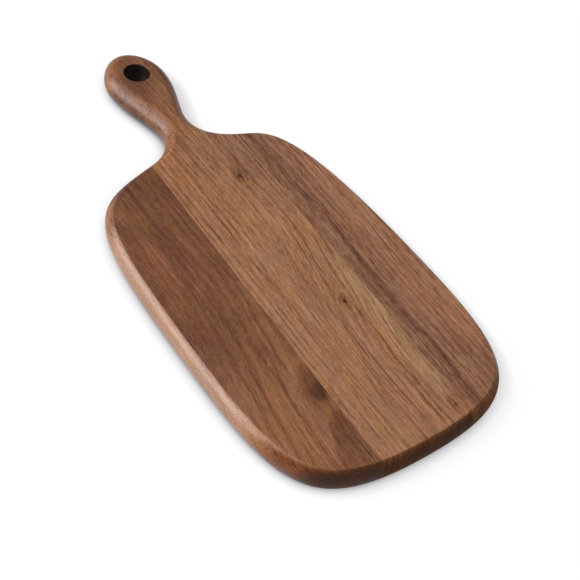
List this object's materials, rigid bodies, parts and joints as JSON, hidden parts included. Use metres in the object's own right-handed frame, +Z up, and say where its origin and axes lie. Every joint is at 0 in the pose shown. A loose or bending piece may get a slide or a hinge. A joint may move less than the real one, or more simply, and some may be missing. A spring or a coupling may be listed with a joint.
{
  "type": "paddle serving board",
  "caption": "Walnut paddle board for charcuterie, glued up from staves, with a rounded offset handle drilled for hanging.",
  "frame": {"origin": "on the underside, below the middle of the board's overall length and width", "axes": "+Y along the board to the tip of the handle, +Z up from the table through the thickness, +X to the right seen from above with the handle at the top"},
  "size_m": [0.183, 0.387, 0.019],
  "materials": {
    "walnut_dark": "oiled satin",
    "walnut_light": "oiled satin",
    "walnut_grey": "oiled satin",
    "cured_glue": "matte"
  },
  "bodies": {
    "root": {"left_stave": "walnut_dark", "centre_stave": "walnut_light", "right_stave": "walnut_grey", "glue_line_left": "cured_glue", "glue_line_right": "cured_glue"}
  },
  "joints": []
}
